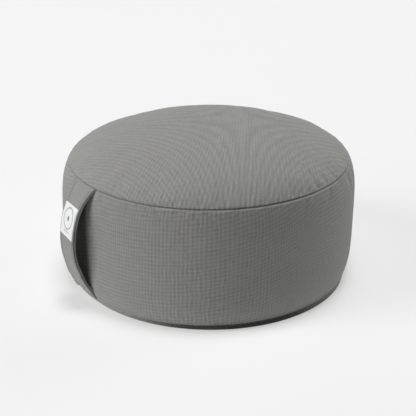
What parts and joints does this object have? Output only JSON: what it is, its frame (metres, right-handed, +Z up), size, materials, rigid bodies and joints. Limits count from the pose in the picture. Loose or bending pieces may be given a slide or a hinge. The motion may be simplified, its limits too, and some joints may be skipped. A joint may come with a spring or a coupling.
{
  "type": "round meditation cushion",
  "caption": "Round filled floor cushion with a domed sewn top, a full side band with seam puckers, a folded carry strap on one side and a blank sewn label",
  "frame": {"origin": "on the floor at the middle of the cushion's flat base", "axes": "+Z up, strap on the -Y side, so the part is longest along Y and lowest along Z"},
  "size_m": [0.3326, 0.3513, 0.1682],
  "materials": {
    "cover": "plain-woven cotton canvas, warm mid grey, matt, slightly slubby",
    "strap": "the same grey canvas folded double, edge stitched",
    "label": "smooth white woven tape, blank, stitched round its edge"
  },
  "bodies": {
    "root": {"cushion": "cover", "handle": "strap", "label": "label"}
  },
  "joints": []
}
